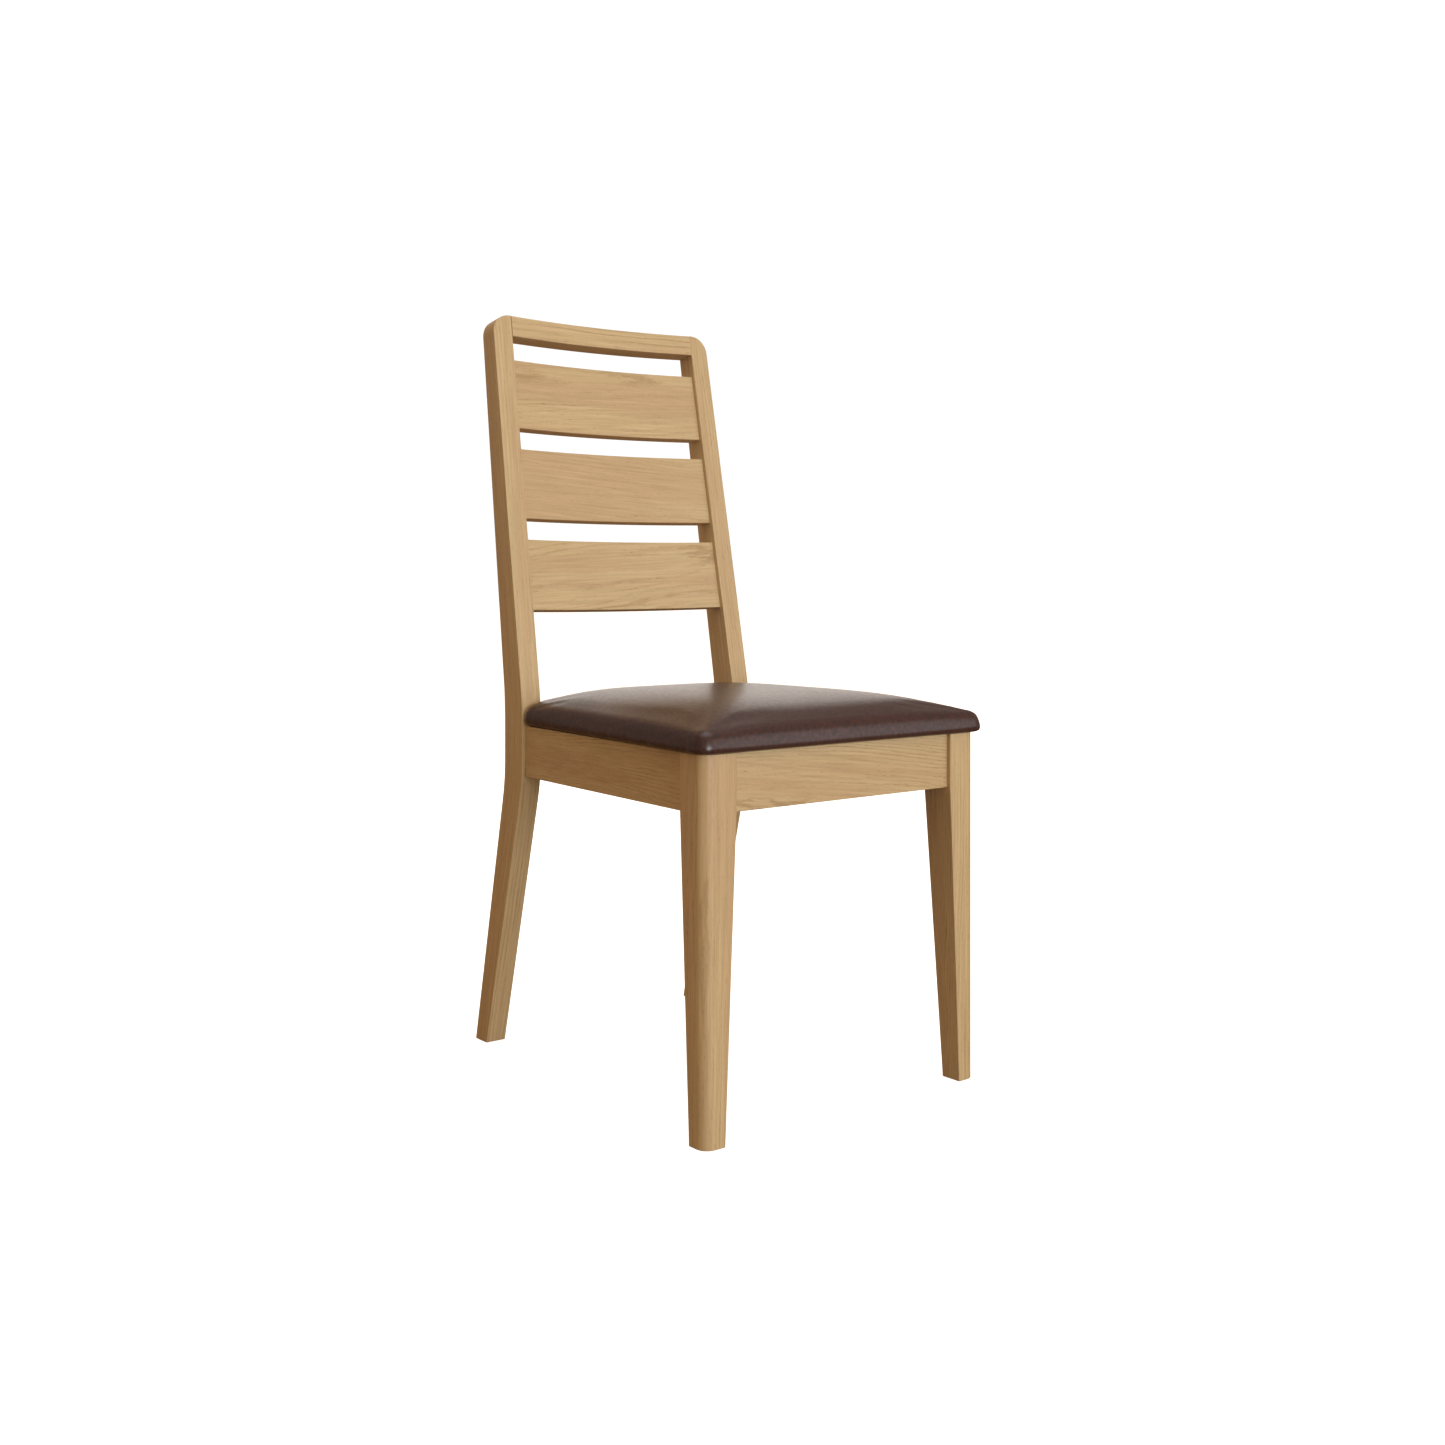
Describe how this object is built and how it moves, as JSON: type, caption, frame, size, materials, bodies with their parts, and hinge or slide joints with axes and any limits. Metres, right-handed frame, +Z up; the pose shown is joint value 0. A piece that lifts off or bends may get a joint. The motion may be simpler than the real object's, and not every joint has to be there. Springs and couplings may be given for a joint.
{
  "type": "dining chair",
  "caption": "Ladder-back dining chair with an oak frame, swept rear posts, curved slats and a brown padded seat.",
  "frame": {"origin": "on the floor, below the middle of the chair's box", "axes": "+Z up, -Y is the way the chair faces, +X is to the right as seen from the front"},
  "size_m": [0.4564, 0.5682, 1],
  "materials": {
    "oak": "satin lacquered natural oak with visible pores and cathedral grain",
    "beech": "plain unfinished beech",
    "plywood": "plain plywood",
    "leather": "dark brown mottled leather-look covering with a satin sheen",
    "foam": "cream polyurethane foam",
    "dust_cloth": "black non-woven cloth",
    "steel": "zinc plated steel"
  },
  "bodies": {
    "root": {"block_screw_front_left_front": "steel", "block_screw_front_left_side": "steel", "block_screw_front_right_front": "steel", "block_screw_front_right_side": "steel", "block_screw_rear_left_rear": "steel", "block_screw_rear_left_side": "steel", "block_screw_rear_right_rear": "steel", "block_screw_rear_right_side": "steel", "corner_block_front_left": "beech", "corner_block_front_right": "beech", "corner_block_rear_left": "beech", "corner_block_rear_right": "beech", "dust_cover": "dust_cloth", "front_apron": "oak", "front_leg_left": "oak", "front_leg_right": "oak", "left_apron": "oak", "lower_slat": "oak", "middle_slat": "oak", "rail_dowel_left_lower": "beech", "rail_dowel_left_upper": "beech", "rail_dowel_right_lower": "beech", "rail_dowel_right_upper": "beech", "rear_apron": "oak", "rear_post_left": "oak", "rear_post_right": "oak", "right_apron": "oak", "seat_board": "plywood", "seat_cover": "leather", "seat_foam": "foam", "seat_screw_front_left": "steel", "seat_screw_front_right": "steel", "seat_screw_rear_left": "steel", "seat_screw_rear_right": "steel", "top_rail": "oak", "upper_slat": "oak"}
  },
  "joints": []
}
